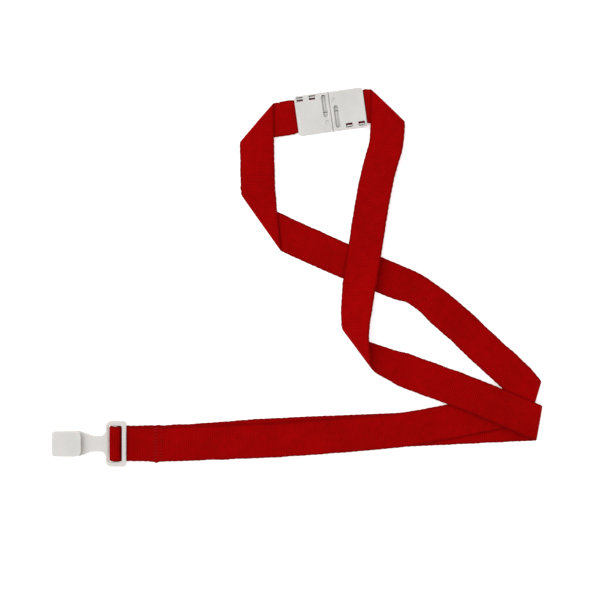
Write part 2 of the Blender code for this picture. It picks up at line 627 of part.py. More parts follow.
def make_seam_thread(name, low, material):
    """Both rows of the seam as one flat thread: along one row, across, and back along the other."""
    (x0, x1), half, w = SEAM_ROWS, SEAM_HALF, THREAD_WIDTH / 2
    outline = [(x0 - w, -half), (x0 + w, -half), (x0 + w, half - w), (x1 - w, half - w), (x1 - w, -half),
               (x1 + w, -half), (x1 + w, half + w), (x0 - w, half + w)]
    outline = [(x, y + HOOK_Y) for x, y in outline]
    return make_object(name, mesh_from(prism(outline, low, low + THREAD_THICK), name), material)


def main():
    clear_scene()
    webbing = make_material("red_webbing", (0.32, 0.004, 0.006), 0.85)
    plastic = make_material("white_plastic", (0.72, 0.72, 0.71), 0.42)
    thread = make_material("red_thread", (0.28, 0.004, 0.006), 0.7)

    full = STRAP_WIDTH / 2
    tail_halves = [full, min(full, INNER_SIDE - GAP), TAIL_HALF, TAIL_HALF]
    right_tail = (tail_points(1), [full] + tail_halves)
    left_tail = (LEFT_TAIL + tail_points(-1), [full] * 2 + tail_halves)
    tight = (FOLD_RADIUS, FOLD_RADIUS)
    make_arm([(LOWER_RUN, None), (LOWER_RETURN, None), (RIGHT_NECK, None), right_tail],
             [(END_FOLD, END_FOLD, 1), LOOSE_TURN, (*tight, -1)],
             ["strap_lower_run", "strap_lower_end_fold", "strap_lower_return", "strap_lower_turn",
              "strap_right_neck", "strap_right_corner", "strap_right_tail"], webbing)
    make_arm([(UPPER_RUN, None), (UPPER_RETURN, None), (LEFT_NECK, None), left_tail],
             [(*tight, 1), (*tight, 1), (*tight, -1)],
             ["strap_upper_run", "strap_upper_end_fold", "strap_upper_return", "strap_left_turn",
              "strap_left_neck", "strap_left_corner", "strap_left_tail"], webbing)
    make_hook_loop(webbing)

    upper_face = PLY + SEAM_LIFT + STRAP_THICK
    make_seam_thread("seam_needle_thread", upper_face + GAP, thread)
    make_seam_thread("seam_bobbin_thread", SEAM_LIFT - GAP - THREAD_THICK, thread)

    buckle = make_empty("buckle", BUCKLE_CENTRE, BUCKLE_TURN)
    for name, turn in (("left", 0.0), ("right", math.pi)):
        make_housing(f"buckle_housing_{name}", buckle, turn, plastic)
        make_cover(f"clamp_cover_{name}", buckle, turn, plastic)
    make_hook(make_empty("hook_swing", HOOK_AXIS), plastic)


main()
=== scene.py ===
"""Looks of the neck lanyard: woven webbing, stitches, breakaway buckle and wide plastic hook.

The webbing is one strip.  It is modelled as a dense row of straight rulings from one edge to the
other along the same route as the CAD stretches, which it replaces.  Lengths are in metres.
"""

import math
import random

import bmesh
import bpy
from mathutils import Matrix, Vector, noise


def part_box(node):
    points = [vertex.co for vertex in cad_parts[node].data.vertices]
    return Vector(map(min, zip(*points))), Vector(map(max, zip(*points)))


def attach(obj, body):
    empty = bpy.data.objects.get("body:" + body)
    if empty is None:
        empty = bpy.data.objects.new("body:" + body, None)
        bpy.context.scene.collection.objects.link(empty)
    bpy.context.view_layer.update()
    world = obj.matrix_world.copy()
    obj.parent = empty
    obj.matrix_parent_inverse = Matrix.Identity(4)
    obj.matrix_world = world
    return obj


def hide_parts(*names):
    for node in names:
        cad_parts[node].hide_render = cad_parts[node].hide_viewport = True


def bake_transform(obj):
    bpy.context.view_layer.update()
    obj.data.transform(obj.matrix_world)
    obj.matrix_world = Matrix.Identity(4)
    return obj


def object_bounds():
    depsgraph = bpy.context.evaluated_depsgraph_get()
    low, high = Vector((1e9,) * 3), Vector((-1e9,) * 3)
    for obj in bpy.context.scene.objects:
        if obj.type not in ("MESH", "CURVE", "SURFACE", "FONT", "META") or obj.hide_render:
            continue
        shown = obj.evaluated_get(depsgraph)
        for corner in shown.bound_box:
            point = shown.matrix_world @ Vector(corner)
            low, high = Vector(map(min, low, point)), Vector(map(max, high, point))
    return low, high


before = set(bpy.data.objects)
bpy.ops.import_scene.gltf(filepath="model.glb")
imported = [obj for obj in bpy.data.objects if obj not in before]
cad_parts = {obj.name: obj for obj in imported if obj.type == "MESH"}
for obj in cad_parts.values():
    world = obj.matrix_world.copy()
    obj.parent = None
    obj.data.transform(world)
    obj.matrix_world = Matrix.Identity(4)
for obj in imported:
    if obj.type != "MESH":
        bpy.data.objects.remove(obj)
cad_low, cad_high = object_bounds()

MM = 0.001
UP = Vector((0.0, 0.0, 1.0))
SEED = 11

# Webbing
WIDTH = 16.0 * MM
THICK = 1.0 * MM
PLY = 1.3 * MM              # height from one ply to the next
FOLD_RADIUS = PLY / 2       # mid-surface radius of a tight fold
STEP = 0.6 * MM             # distance between rulings
FOLD_STEPS = 28
AIM_ROUNDS = 6
EDGE_SHADE_BAND = 0.75 * MM        # width of the band along each edge darkened as painted shade, where the rounded edge turns away from the light
RIB_PITCH = 1.02 * MM       # weft ribs along the strip
WARP_PITCH = 0.8 * MM       # warp columns across the strip
SCALLOP_PITCH = 2.7 * MM
SCALLOP = 0.06 * MM

# Route of the strip, as in the CAD: x and y in millimetres, height in plies (0 lies on the table, 1 on
# one ply), and the rise of edge A over the middle in millimetres.  Edge A is the left edge as the strip
# leaves the hook.
SEAM_RISE = 0.7 / 1.3
START_X = -77.5
LOWER_RUN = [(START_X, -76.85, 0, 0), (-71, -76.75, 0.3 * SEAM_RISE, 0), (-64, -76.7, SEAM_RISE, 0),
             (-56, -76.35, 0.2 * SEAM_RISE, 0), (-45, -75.8, 0, 0), (-13.2, -73.5, 0, 0),
             (42.6, -71.1, 0, 0), (110.1, -67.9, 0, 0)]
LOWER_RETURN = [(97, -61, 3, 0), (84, -55.6, 2.6, 0), (70, -50.3, 2, 0), (60, -46.7, 0.8, -0.2),
                (49.3, -42.8, 0.45, -0.55)]
RIGHT_NECK = [(28.9, -4.2, 2.6, -2.15), (29.5, -1.2, 2.5, -2), (32.4, 17.4, 2.1, -1.6),
              (34.7, 32.3, 1.8, -1.4), (37.6, 47.2, 2, -1.6), (41.5, 62.1, 2.4, -1.2),
              (42.1, 69, 3.1, -0.4), (42.3, 78.2, 2.8, 0)]
UPPER_RUN = [(START_X, -77.3, 1, 0), (-71, -77.4, 1 + 0.3 * SEAM_RISE, 0), (-64, -77.5, 1 + SEAM_RISE, 0),
             (-56, -77.35, 1 + 0.2 * SEAM_RISE, 0), (-45, -76.95, 1, 0), (-13.2, -75.7, 1, 0),
             (9.2, -74.25, 1, 0), (27.8, -72.8, 1, 0), (48.2, -70.8, 1, 0), (62.2, -68.5, 1, 0),
             (97, -61.7, 1, 0), (109.5, -57.8, 1, 0)]
UPPER_RETURN = [(103.5, -48.5, 2, 0), (99.4, -44.4, 1.8, 0), (91, -36.7, 1, 0), (83.6, -29.8, 0.5, 0),
                (76.1, -22.6, 0.3, 0.3), (68.7, -16.3, 1.3, 1.5), (61.2, -9.9, 2.9, 3.6),
                (54.6, -5.4, 2.9, 3.6), (46.4, -2.1, 0.8, 0.9), (40, 0.6, 0, 0), (20.3, 8.6, 0, 0),
                (1.7, 16.9, 0, 0), (-14.5, 24.3, 0, 0)]
LEFT_NECK = [(-17.7, 39.8, 1.3, 0), (-18.1, 52, 1.8, 0), (-18.3, 62.1, 2.1, 0), (-18.4, 70.2, 2.1, 0)]
LEFT_LEAD = (-9.8, 72.9, 1.2, 0)
LOOSE_TURN = [(44.35, -40.85, 0.05, 0.119, 0.906, -0.087), (39.55, -39.0, 0.04, -0.131, 0.95, -0.131),
              (34.9, -37.25, 0.04, -0.425, 1.006, -0.181), (31.2, -35.55, 0.12, -0.65, 1.044, -0.238),
              (28.45, -33.15, 0.5, -0.806, 1.081, -0.284), (27.67, -30.75, 0.96, -0.841, 1.056, -0.316),
              (27.3, -27.05, 1.08, -0.825, 0.944, -0.325), (27.05, -22.0, 1.08, -0.806, 0.812, -0.319),
              (27.35, -16.75, 1.0, -0.819, 0.656, -0.312), (28.1, -11.0, 0.96, -0.875, 0.438, -0.284)]
TURN_STEPS = 12
SPLIT_X = 20.0 * MM         # where the two webbing pieces meet, below the upper run

# The strip's ends in the buckle: distances from its middle, height in plies, half widths
BUCKLE_CENTRE = (15.8, 76.7)
BUCKLE_TURN = math.radians(7.9)
TAIL_STOPS = (18.0, 16.6, 15.3, 6.6)
TAIL_LEVEL = 1.7
TAIL_HALVES = [8.0 * MM, 7.75 * MM, 7.1 * MM, 7.1 * MM]

# Loop of the strip through the hook, from the lower run to the upper run: x and height in plies
LOOP_X = -78.9
LOOP_Y = (-76.85, -77.3)
LOOP = [(1.4, 0), (-4.2, 0.04), (-6.4, 0.35), (-7.3, 1.15), (-7.35, 2), (-7.1, 2.85), (-6.4, 3.38),
        (-5.3, 3.5), (-4.1, 3.27), (-3.3, 2.7), (-2.95, 1.85), (-2.5, 1.23), (-1.6, 1), (1.4, 1)]

# Seam
SEAM_Y = -77.05 * MM
SEAM_GROOVE_X = -63.35 * MM
STITCH_PITCH = 1.4 * MM
LONG_STITCH = (-66.25 * MM, -64.15 * MM)
SHORT_STITCH = (-62.85 * MM, -61.95 * MM)
SEAM_HALF = 7.0 * MM
SEAM_GAP_HALF = 0.15 * MM   # half the gap between the buckle halves in the CAD
SEAM_CLOSE = 0.1 * MM       # how much of it each moulded half takes up
BEVEL_STEPS = 3

# Webbing surface
SECTION_STEPS = 12          # points across each face of the strip
EDGE_INSET = 0.045          # rounded share of the half width at each edge
EDGE_WANDER = 0.2 * MM
WAVE = 0.09 * MM            # slow unevenness of the cloth
GROOVE_DEPTH = 0.28 * MM
GROOVE_WIDTH = 0.55 * MM
BULGE = 0.42 * MM
BULGE_WIDTH = 0.9 * MM
BULGE_X = (-63.8 * MM, -65.0 * MM)  # at the strip's upper and lower edge in the photograph's view

# Stage
TABLE_HALF = 1.5
TABLE_DROP = 0.02 * MM
CAMERA_ASIDE = (1.4 * MM, -10.6 * MM)  # from the middle of the CAD box
CAMERA_HEIGHT = 0.775
LIGHTS = (("key_light", (-0.4, 0.25, 0.85), 5.2, 0.9),
          ("fill_light", (0.5, -0.4, 0.9), 1.6, 0.9))


# Materials

class Graph:
    """Adds nodes to a material and links them."""

    def __init__(self, name):
        self.material = bpy.data.materials.new(name)
        self.material.use_nodes = True
        self.tree = self.material.node_tree
        self.shader = self.tree.nodes["Principled BSDF"]

    def node(self, kind, inputs=(), **settings):
        made = self.tree.nodes.new(kind)
        for key, value in settings.items():
            setattr(made, key, value)
        for key, value in dict(inputs).items():
            self.set(made.inputs[key], value)
        return made

    def set(self, socket, value):
        if isinstance(value, bpy.types.NodeSocket):
            self.tree.links.new(value, socket)
        else:
            socket.default_value = value

    def math(self, operation, a, b=0.0, c=0.0):
        made = self.tree.nodes.new("ShaderNodeMath")
        made.operation = operation
        for socket, value in zip(made.inputs, (a, b, c)):
            self.set(socket, value)
        return made.outputs[0]

    def ramp(self, value, low, high, to_low=0.0, to_high=1.0):
        made = self.node("ShaderNodeMapRange", {"Value": value, "From Min": low, "From Max": high,
                                                "To Min": to_low, "To Max": to_high},
                         interpolation_type="SMOOTHSTEP")
        return made.outputs["Result"]

    def noise(self, vector, scale, detail=2.0, roughness=0.5):
        made = self.node("ShaderNodeTexNoise", {"Vector": vector, "Scale": scale, "Detail": detail,
                                                "Roughness": roughness})
        return made.outputs["Fac"]

    def mix(self, factor, a, b):
        made = self.node("ShaderNodeMix", data_type="RGBA")
        self.set(made.inputs[0], factor)
        self.set(made.inputs[6], a)
        self.set(made.inputs[7], b)
        return made.outputs[2]

    def bump(self, height, distance, strength=1.0, normal=None):
        made = self.node("ShaderNodeBump", {"Height": height, "Distance": distance, "Strength": strength})
        if normal is not None:
            self.set(made.inputs["Normal"], normal)
        return made.outputs["Normal"]

    def uniform(self, **values):
        for key, value in values.items():
            self.shader.inputs[key.replace("_", " ")].default_value = value


def webbing_material():
    """Plain weave on the strip's own coordinates: x along it, y across it, both in metres."""
    g = Graph("red_polyester_webbing")
    spot = g.node("ShaderNodeUVMap", uv_map="strip").outputs["UV"]
    split = g.node("ShaderNodeSeparateXYZ", {"Vector": spot})
    along, across = split.outputs["X"], split.outputs["Y"]
    solid = g.node("ShaderNodeTexCoord").outputs["Object"]
    column = g.math("FLOOR", g.math("DIVIDE", across, WARP_PITCH))
    odd = g.math("MODULO", g.math("ABSOLUTE", column), 2.0)
    waver = g.math("MULTIPLY", g.noise(spot, 260.0, 1.0), 0.5)
    rib_phase = g.math("ADD", g.math("MULTIPLY", along, 1.0 / RIB_PITCH),
                       g.math("ADD", g.math("MULTIPLY", odd, 0.28), waver))
    rib = g.math("ABSOLUTE", g.math("SINE", g.math("MULTIPLY", rib_phase, math.pi)))
    warp_phase = g.math("MULTIPLY", across, math.pi / WARP_PITCH)
    warp = g.math("POWER", g.math("ABSOLUTE", g.math("SINE", warp_phase)), 0.45)
    weave = g.math("MULTIPLY", g.math("POWER", rib, 0.6), g.math("MULTIPLY_ADD", warp, 0.45, 0.55))
    fibre_scale = g.node("ShaderNodeCombineXYZ", {"X": g.math("MULTIPLY", along, 1500.0),
                                                  "Y": g.math("MULTIPLY", across, 9000.0)})
    fibre = g.noise(fibre_scale.outputs["Vector"], 1.0, 2.0)
    # Painted shade: the colour darkens over a band along both edges, where the rounded edge turns away from
    # the light.
    inner_edge = WIDTH / 2 - EDGE_SHADE_BAND
    edge_shade = g.ramp(g.math("ABSOLUTE", across), inner_edge - 0.25 * MM, inner_edge + 0.2 * MM)
    mottle = g.noise(solid, 330.0, 3.0, 0.6)
    cloud = g.noise(solid, 46.0, 2.0)
    # The weave term darkens the hollows between threads as painted shade; mottle, cloud and fibre give the
    # cloth's random tone.
    light = g.math("ADD", g.math("MULTIPLY", weave, 0.42), g.math("MULTIPLY", mottle, 0.36))
    light = g.math("ADD", light, g.math("MULTIPLY", g.math("SUBTRACT", cloud, 0.5), 0.35))
    light = g.math("ADD", light, g.math("MULTIPLY", fibre, 0.12))
    tone = g.mix(g.ramp(light, 0.15, 0.85), (0.205, 0.0001, 0.0002, 1.0), (0.385, 0.0002, 0.0003, 1.0))
    # The painted edge shade darkens the tone towards a deep red at both edges.
    tone = g.mix(g.math("MULTIPLY", edge_shade, 0.55), tone, (0.165, 0.0001, 0.0002, 1.0))
    g.set(g.shader.inputs["Base Color"], tone)
    g.set(g.shader.inputs["Roughness"], g.ramp(weave, 0.0, 1.0, 0.92, 0.74))
    g.uniform(Specular_IOR_Level=0.03)
    height = g.math("ADD", weave, g.math("MULTIPLY", fibre, 0.25))
    g.set(g.shader.inputs["Normal"], g.bump(height, 0.16 * MM, 0.85))
    return g.material


def thread_material():
    g = Graph("red_sewing_thread")
    solid = g.node("ShaderNodeTexCoord").outputs["Object"]
    ply = g.node("ShaderNodeTexWave", {"Vector": solid, "Scale": 900.0, "Distortion": 1.5, "Detail": 1.0},
                 wave_type="BANDS", bands_direction="DIAGONAL").outputs["Fac"]
    worn = g.noise(solid, 500.0, 2.0)
    tone = g.mix(g.math("MULTIPLY_ADD", ply, 0.6, g.math("MULTIPLY", worn, 0.4)),
                 (0.19, 0.0002, 0.0003, 1.0), (0.40, 0.0004, 0.0006, 1.0))
    g.set(g.shader.inputs["Base Color"], tone)
    g.set(g.shader.inputs["Roughness"], g.ramp(worn, 0.2, 0.8, 0.45, 0.65))
    g.uniform(Specular_IOR_Level=0.1)
    g.set(g.shader.inputs["Normal"], g.bump(ply, 0.05 * MM, 0.7))
    return g.material


def plastic_material(name, colour, roughness, grain):
    """Matt moulded polypropylene: fine grain, slight clouding, and light passing just below the surface."""
    g = Graph(name)
    solid = g.node("ShaderNodeTexCoord").outputs["Object"]
    cloud = g.noise(solid, 90.0, 2.0)
    fine = g.noise(solid, 2600.0, 3.0, 0.6)
    flow = g.noise(solid, 420.0, 2.0)
    darker = tuple(c * 0.93 for c in colour) + (1.0,)
    tone = g.mix(g.ramp(cloud, 0.3, 0.7), darker, colour + (1.0,))
    g.set(g.shader.inputs["Base Color"], tone)
    mixed = g.math("ADD", g.math("MULTIPLY", fine, 0.4), g.math("MULTIPLY", flow, 0.6))
    g.set(g.shader.inputs["Roughness"], g.ramp(mixed, 0.25, 0.75, roughness - 0.06, roughness + 0.08))
    g.uniform(Specular_IOR_Level=0.42, Subsurface_Weight=0.5, Subsurface_Scale=1.6 * MM)
    g.shader.inputs["Subsurface Radius"].default_value = (1.0, 0.75, 0.7)
    height = g.math("ADD", g.math("MULTIPLY", fine, 0.5), flow)
    g.set(g.shader.inputs["Normal"], g.bump(height, grain, 0.5))
    return g.material


def floor_material():
    g = Graph("white_table")
    solid = g.node("ShaderNodeTexCoord").outputs["Object"]
    paper = g.noise(solid, 40.0, 3.0)
    tone = g.mix(paper, (0.93, 0.93, 0.93, 1.0), (0.96, 0.96, 0.96, 1.0))
    g.set(g.shader.inputs["Base Color"], tone)
    g.uniform(Roughness=0.9, Specular_IOR_Level=0.1, Emission_Strength=0.45)
    g.shader.inputs["Emission Color"].default_value = (1.0, 1.0, 1.0, 1.0)
    return g.material


# Route of the strip.  A station is the middle, the reach to edge A, the place along the strip, and
# how far the ruling leans along the strip for each metre of its half width.

def ease(t):
    return t * t * (3 - 2 * t)


def cross(a, b):
    return a.x * b.y - a.y * b.x


def flat_way(start, end):
    return Vector((end[0] - start[0], end[1] - start[1], 0.0)).normalized()


def reach_of(direction, side, shear, lift, half):
    flat = math.sqrt(half * half - lift * lift)
    return (Vector((-direction.y, direction.x, 0.0)) * side + direction * shear) * flat + UP * lift


def place_of(point):
    """Where a point of the route is: millimetres across the table, plies above it."""
    return Vector((point[0] * MM, point[1] * MM, THICK / 2 + point[2] * PLY))


def bend(keys, i, t):
    """A point on the smooth line through the keys, between key i and the next."""
    start, end = keys[i], keys[i + 1]
    before = keys[i - 1] if i else start * 2 - end
    after = keys[i + 2] if i + 2 < len(keys) else end * 2 - start
    return (start * (2 * t ** 3 - 3 * t ** 2 + 1) + (end - before) / 2 * (t ** 3 - 2 * t ** 2 + t)
            + end * (3 * t ** 2 - 2 * t ** 3) + (after - start) / 2 * (t ** 3 - t ** 2))


def curve_spot(places, ways, lengths, i, t):
    """A point and the direction on the cubic from place i to the next."""
    start, end = places[i], places[i + 1]
    a, b = ways[i] * lengths[i], ways[i + 1] * lengths[i]
    spot = (start * (2 * t ** 3 - 3 * t ** 2 + 1) + a * (t ** 3 - 2 * t ** 2 + t)
            + end * (3 * t ** 2 - 2 * t ** 3) + b * (t ** 3 - t ** 2))
    way = (start * (6 * t ** 2 - 6 * t) + a * (3 * t ** 2 - 4 * t + 1)
           + end * (6 * t - 6 * t ** 2) + b * (3 * t ** 2 - 2 * t))
    return spot, way


def run_stations(points, first_way, last_way, side, shears, start_s, halves=None):
    places = [place_of(p) for p in points]
    lifts = [p[3] * MM for p in points]
    halves = halves or [WIDTH / 2] * len(points)
    ways = [first_way]
    for before, after in zip(places, places[2:]):
        ways.append((after - before).to_2d().to_3d().normalized())
    ways.append(last_way)
    lengths = [(b - a).to_2d().length for a, b in zip(places, places[1:])]
    samples = []
    for i, length in enumerate(lengths):
        steps = max(2, math.ceil(length / STEP))
        for k in range(steps + (i == len(lengths) - 1)):
            t = k / steps
            spot, way = curve_spot(places, ways, lengths, i, t)
            spot.z = places[i].z + (places[i + 1].z - places[i].z) * ease(t)
            way = Vector((way.x, way.y, 0.0)).normalized()
            samples.append((spot, way, lifts[i] + (lifts[i + 1] - lifts[i]) * ease(t),
                            halves[i] + (halves[i + 1] - halves[i]) * t))
    distance = [0.0]
    for one, two in zip(samples, samples[1:]):
        distance.append(distance[-1] + (two[0] - one[0]).length)
    total = distance[-1]
    fades = [max(1.25 * WIDTH / 2 * abs(c), MM) for c in shears]
    stations = []
    for (spot, way, lift, half), s in zip(samples, distance):
        shear = (shears[0] * max(0.0, 1 - s / fades[0]) + shears[1] * max(0.0, 1 - (total - s) / fades[1]))
        stations.append((spot, reach_of(way, side, shear, lift, half), start_s + s, shear))
    return stations


def fold_stations(centre, way, next_way, side, radius_a, radius_b, up, start_s=0.0):
    """Rulings parallel to the crease, rolled half a turn about it."""
    crease = (way + next_way).normalized()
    out = (way - next_way).normalized()
    shear = side * way.dot(crease) / cross(way, crease)
    slide = way.dot(crease) / way.dot(out)
    reach = reach_of(way, side, shear, 0.0, WIDTH / 2)
    middle = (radius_a + radius_b) / 2
    stations = []
    for k in range(FOLD_STEPS + 1):
        angle = math.pi * k / FOLD_STEPS
        drift = crease * (middle * angle * slide)
        ends = []
        for end, radius in ((centre + reach, radius_a), (centre - reach, radius_b)):
            rise = UP * (up * radius * (1 - math.cos(angle)))
            ends.append(end + drift + out * (radius * math.sin(angle)) + rise)
        mid = (ends[0] + ends[1]) / 2
        stations.append((mid, ends[0] - mid, start_s + middle * angle / way.dot(out), shear))
    return stations, shear


def turn_stations(first, rulings, last, start_s):
    """Rulings of a loose turn, smooth from the first ruling through those given to the last."""
    keys = [first]
    for ruled in rulings:
        reach = Vector(ruled[3:]) * (WIDTH / 2)
        middle = place_of(ruled) - UP * reach.z
        keys.append((middle + reach, middle - reach))
    keys.append(last)
    edge_a, edge_b = [a for a, _ in keys], [b for _, b in keys]
    stations, before, s_a, s_b = [], None, start_s, start_s
    for i in range(len(keys) - 1):
        for k in range(TURN_STEPS + (i == len(keys) - 2)):
            a, b = bend(edge_a, i, k / TURN_STEPS), bend(edge_b, i, k / TURN_STEPS)
            if before:
                s_a += (a - before[0]).length
                s_b += (b - before[1]).length
            before = (a, b)
            stations.append(((a + b) / 2, (a - b) / 2, (s_a + s_b) / 2, (s_a - s_b) / WIDTH))
    return stations


def arm_stations(runs, folds):
    """The whole arm as one row of stations, and the number of the first station of each stretch."""
    side, s, start_shear = 1, 0.0, 0.0
    points = list(runs[0][0])
    way = flat_way(points[0], points[1])
    stations, firsts = [], []
    for i, (_, halves) in enumerate(runs):
        last_way = flat_way(points[-2], points[-1])
        end_shear = 0.0
        folded = i < len(folds)
        loose = folded and isinstance(folds[i], list)
        if folded and not loose:
            corner = place_of(points[-1])
            leave = points[-1]
            for _ in range(AIM_ROUNDS):
                next_way = flat_way(leave, runs[i + 1][0][0])
                rolled, end_shear = fold_stations(corner, last_way, next_way, side, *folds[i])
                middle = rolled[-1][0]
                leave = (middle.x / MM, middle.y / MM, (middle.z - THICK / 2) / PLY)
        run = run_stations(points, way, last_way, side, (start_shear, end_shear), s, halves)
        firsts.append(len(stations))
        stations += run[1:] if stations else run
        s = run[-1][2]
        if loose:
            points = list(runs[i + 1][0])
            next_way = flat_way(points[0], points[1])
            end = reach_of(next_way, -side, 0.0, points[0][3] * MM, WIDTH / 2)
            first = (run[-1][0] + run[-1][1], run[-1][0] - run[-1][1])
            start = place_of(points[0])
            rolled = turn_stations(first, folds[i], (start + end, start - end), s)
        elif folded:
            rolled, _ = fold_stations(corner, last_way, next_way, side, *folds[i], start_s=s)
            points = [(*leave, rolled[-1][1].z / MM)] + list(runs[i + 1][0])
        if folded:
            firsts.append(len(stations))
            stations += rolled[1:]
            s = rolled[-1][2]
            side, way, start_shear = -side, next_way, end_shear
    return stations, firsts


def tail_points(sign):
    """The strip's end, from just outside the mouth of a buckle half to its inner end."""
    found = []
    for stop in TAIL_STOPS:
        reach = stop * sign
        found.append((BUCKLE_CENTRE[0] + math.cos(BUCKLE_TURN) * reach,
                      BUCKLE_CENTRE[1] + math.sin(BUCKLE_TURN) * reach, TAIL_LEVEL, 0))
    return found


def loop_stations():
    """The strip's turn round the hook's centre bar, from the lower run to the upper run."""
    places = []
    for i, (x, level) in enumerate(LOOP):
        y = LOOP_Y[0] + (LOOP_Y[1] - LOOP_Y[0]) * ease(i / (len(LOOP) - 1))
        places.append(place_of((LOOP_X + x, y, level)))
    stations, s = [], 0.0
    edge = Vector((0.0, WIDTH / 2, 0.0))
    for i in range(len(places) - 1):
        steps = max(2, math.ceil((places[i + 1] - places[i]).length / (STEP / 2)))
        for k in range(steps + (i == len(places) - 2)):
            spot = bend(places, i, k / steps)
            s += (spot - stations[-1][0]).length if stations else 0.0
            stations.append((spot, edge.copy(), s, 0.0))
    return stations


def shifted(stations, start_s):
    return [(spot, reach, start_s + s, shear) for spot, reach, s, shear in stations]


# The webbing as a closed mesh

def section():
    """Half a turn of the strip's section: share of the half width, share of the half thickness."""
    steps = SECTION_STEPS
    upper = [-1 + EDGE_INSET + (2 - 2 * EDGE_INSET) * k / steps for k in range(steps + 1)]
    corner = 1 - EDGE_INSET * 0.25
    rounding = [(corner, 0.72), (1.0, 0.0), (corner, -0.72)]
    ring = [(u, 1.0) for u in upper] + rounding
    ring += [(-u, -1.0) for u in upper] + [(-u, -n) for u, n in rounding]
    return ring


def seam_dip(x):
    """Depth of the groove between the seam's two rows."""
    return GROOVE_DEPTH * math.exp(-((x - SEAM_GROOVE_X) / GROOVE_WIDTH) ** 2)


def seam_bulge(x, y):
    """How far the edge swells where the stitches pull the strip together."""
    centre = BULGE_X[0] if y > SEAM_Y else BULGE_X[1]
    return BULGE * math.exp(-((x - centre) / BULGE_WIDTH) ** 2)


def strip_mesh(name, stations, seam=False):
    """A closed strip on a row of stations, with the strip's own coordinates as a UV map."""
    ring_shape = section()
    half = WIDTH / 2
    bm = bmesh.new()
    rings, uvs = [], []
    last = len(stations) - 1
    for i, (spot, reach, s, shear) in enumerate(stations):
        before, after = stations[max(i - 2, 0)][0], stations[min(i + 2, last)][0]
        normal = reach.cross(after - before).normalized()
        ring, coordinates = [], []
        for u, n in ring_shape:
            v = u * half
            own = s + v * shear
            ripple = math.sin(2 * math.pi * own / SCALLOP_PITCH + (0.0 if u > 0 else 1.7))
            wander = noise.noise(Vector((own * 160.0, 3.0 if u > 0 else 9.0, 0.0)))
            widen = 1 + abs(u) ** 6 * (SCALLOP * ripple + EDGE_WANDER * wander) / half
            wave = WAVE * noise.noise(Vector((own * 70.0, v * 70.0, 5.0)))
            selvedge = 1 - 0.14 * max(0.0, abs(u) - 0.9) / 0.1
            place = spot + reach * (u * widen)
            lift = THICK / 2 * n * selvedge + wave
            if seam:
                if abs(u) > 0.9:
                    place += reach.normalized() * (math.copysign(1.0, u) * seam_bulge(place.x, place.y))
                if n > 0 and spot.z > PLY:
                    lift -= seam_dip(place.x)
                elif n < 0 and spot.z < PLY:
                    lift += seam_dip(place.x)
            ring.append(bm.verts.new(place + normal * lift))
            coordinates.append((own, v))
        rings.append(ring)
        uvs.append(coordinates)
    layer = bm.loops.layers.uv.new("strip")
    count = len(ring_shape)
    for i in range(last):
        for k in range(count):
            j = (k + 1) % count
            face = bm.faces.new((rings[i][k], rings[i][j], rings[i + 1][j], rings[i + 1][k]))
            face.smooth = True
            for loop, (r, c) in zip(face.loops, ((i, k), (i, j), (i + 1, j), (i + 1, k))):
                loop[layer].uv = uvs[r][c]
    for i in (0, last):
        cap = bm.faces.new(rings[i])
        for loop, uv in zip(cap.loops, uvs[i]):
            loop[layer].uv = uv
    bmesh.ops.recalc_face_normals(bm, faces=bm.faces)
    mesh = bpy.data.meshes.new(name)
    bm.to_mesh(mesh)
    bm.free()
    made = bpy.data.objects.new(name, mesh)
    bpy.context.collection.objects.link(made)
    return made


def strip_length(stations):
    return stations[-1][2] - stations[0][2]


def build_webbing(material):
    tight = (FOLD_RADIUS, FOLD_RADIUS)
    full = WIDTH / 2
    lower, lower_firsts = arm_stations(
        [(LOWER_RUN, None), (LOWER_RETURN, None), (RIGHT_NECK, None), (tail_points(1), [full] + TAIL_HALVES)],
        [(1.5 * PLY, 1.5 * PLY, 1), LOOSE_TURN, (*tight, -1)])
    upper, _ = arm_stations(
        [(UPPER_RUN, None), (UPPER_RETURN, None), (LEFT_NECK, None),
         ([LEFT_LEAD] + tail_points(-1), [full] * 2 + TAIL_HALVES)],
        [(*tight, 1), (*tight, 1), (*tight, -1)])
    split = next(i for i, station in enumerate(lower) if station[0].x > SPLIT_X)
    before = [(spot, reach, -s, -shear) for spot, reach, s, shear in reversed(lower[:split + 1])]
    loop = loop_stations()
    hook_part = before + loop[1:] + shifted(upper, strip_length(loop))[1:]
    hook_strip = strip_mesh("webbing_hook_side", hook_part, seam=True)
    hook_strip.data.materials.append(material)
    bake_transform(hook_strip)
    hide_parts("strap_lower_run", "strap_hook_loop", "strap_upper_run", "strap_upper_end_fold",
                "strap_upper_return", "strap_left_turn", "strap_left_neck", "strap_left_corner",
                "strap_left_tail")
    buckle_part = lower[split:]
    buckle_strip = strip_mesh("webbing_buckle_side", buckle_part)
    buckle_strip.data.materials.append(material)
    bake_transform(buckle_strip)
    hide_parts("strap_lower_end_fold", "strap_lower_return", "strap_lower_turn",
                "strap_right_neck", "strap_right_corner", "strap_right_tail")


# Stitches

def add_stitch(bm, low, high, y, z, radius, bow):
    """A rounded thread along x that dips into the cloth at both ends."""
    steps, sides = 8, 8
    rings = []
    for i in range(steps + 1):
        t = i / steps
        swell = math.sin(math.pi * min(1.0, max(0.0, 0.08 + 0.84 * t))) ** 0.45
        x = low + (high - low) * t
        top = z + bow * math.sin(math.pi * t) - bow
        ring = []
        for k in range(sides):
            a = 2 * math.pi * k / sides
            ring.append(bm.verts.new((x, y + radius * swell * math.cos(a),
                                      top + 0.8 * radius * swell * math.sin(a))))
        rings.append(ring)
    for one, two in zip(rings, rings[1:]):
        for k in range(sides):
            j = (k + 1) % sides
            bm.faces.new((one[k], one[j], two[j], two[k])).smooth = True
    bm.faces.new(rings[0])
    bm.faces.new(rings[-1])


